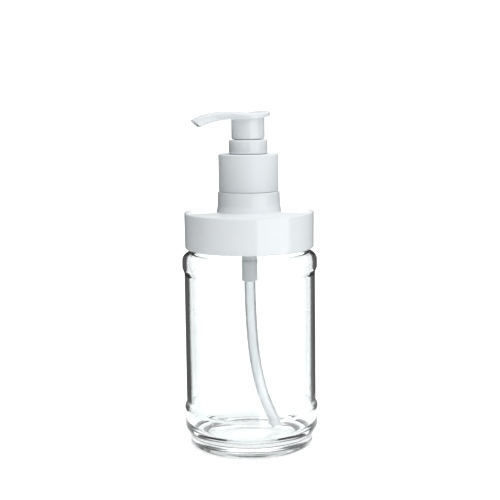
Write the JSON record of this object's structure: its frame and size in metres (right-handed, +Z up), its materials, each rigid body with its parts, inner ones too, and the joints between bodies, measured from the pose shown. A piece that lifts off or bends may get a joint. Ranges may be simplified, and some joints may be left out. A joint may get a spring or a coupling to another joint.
{
  "type": "condiment pump dispenser",
  "caption": "Clear bulged glass jar with a white plastic screw lid, raised boss and a lock-down pump with a curved nozzle and dip tube.",
  "frame": {"origin": "centre of the ring that the jar stands on, on the jar's axis", "axes": "+Z up along the jar's axis; the nozzle points along -X"},
  "size_m": [0.0754, 0.0754, 0.1877],
  "materials": {
    "clear_glass": "clear, polished, with a faint cool tint in the thick parts",
    "white_plastic": "moulded, glossy, cool white",
    "satin_plastic": "moulded, satin, cool white",
    "milky_plastic": "unpigmented, milky grey, translucent",
    "tube_plastic": "unpigmented, milky, translucent",
    "natural_plastic": "unpigmented, slightly waxy",
    "foam_liner": "soft closed-cell foam, off-white",
    "steel": "bright drawn and polished stainless steel"
  },
  "bodies": {
    "jar": {"glass_jar": "clear_glass"},
    "seal": {"lid_liner": "foam_liner"},
    "lid": {"screw_lid": "white_plastic"},
    "pump": {"pump_chamber": "milky_plastic", "neck_gasket": "foam_liner", "locking_collar": "white_plastic", "dip_tube": "tube_plastic", "return_spring": "steel"},
    "closure": {"pump_closure": "satin_plastic"},
    "plunger": {"piston": "natural_plastic", "piston_rod": "natural_plastic"},
    "head": {"actuator_head": "white_plastic", "stem": "natural_plastic"},
    "inlet_valve": {"inlet_ball": "steel"},
    "outlet_valve": {"outlet_ball": "steel"}
  },
  "joints": [
    {"name": "lid_lift", "type": "slide", "parent": "jar", "child": "seal", "axis": [0, 0, 1], "range_m": [0, 0.14]},
    {"name": "lid_turn", "type": "hinge", "parent": "seal", "child": "lid", "pos_m": [0, 0, 0.13], "axis": [0, 0, 1], "continuous": true},
    {"name": "pump_rise", "type": "slide", "parent": "lid", "child": "pump", "axis": [0, 0, 1], "range_m": [0, 0.0063]},
    {"name": "closure_turn", "type": "hinge", "parent": "pump", "child": "closure", "pos_m": [0, 0, 0.16], "axis": [0, 0, 1], "range_deg": [0, 540]},
    {"name": "pump_stroke", "type": "slide", "parent": "pump", "child": "plunger", "axis": [0, 0, 1], "range_m": [0, 0.016], "deforming": ["return_spring"]},
    {"name": "head_turn", "type": "hinge", "parent": "plunger", "child": "head", "pos_m": [0, 0, 0.18], "axis": [0, 0, 1], "continuous": true},
    {"name": "inlet_ball_lift", "type": "slide", "parent": "pump", "child": "inlet_valve", "axis": [0, 0, 1], "range_m": [0, 0.0015]},
    {"name": "outlet_ball_lift", "type": "slide", "parent": "head", "child": "outlet_valve", "axis": [0, 0, 1], "range_m": [0, 0.0011]}
  ],
  "couplings": [
    {"joint": "closure_turn", "follows": "pump_rise", "rad_per_m": 1496}
  ]
}
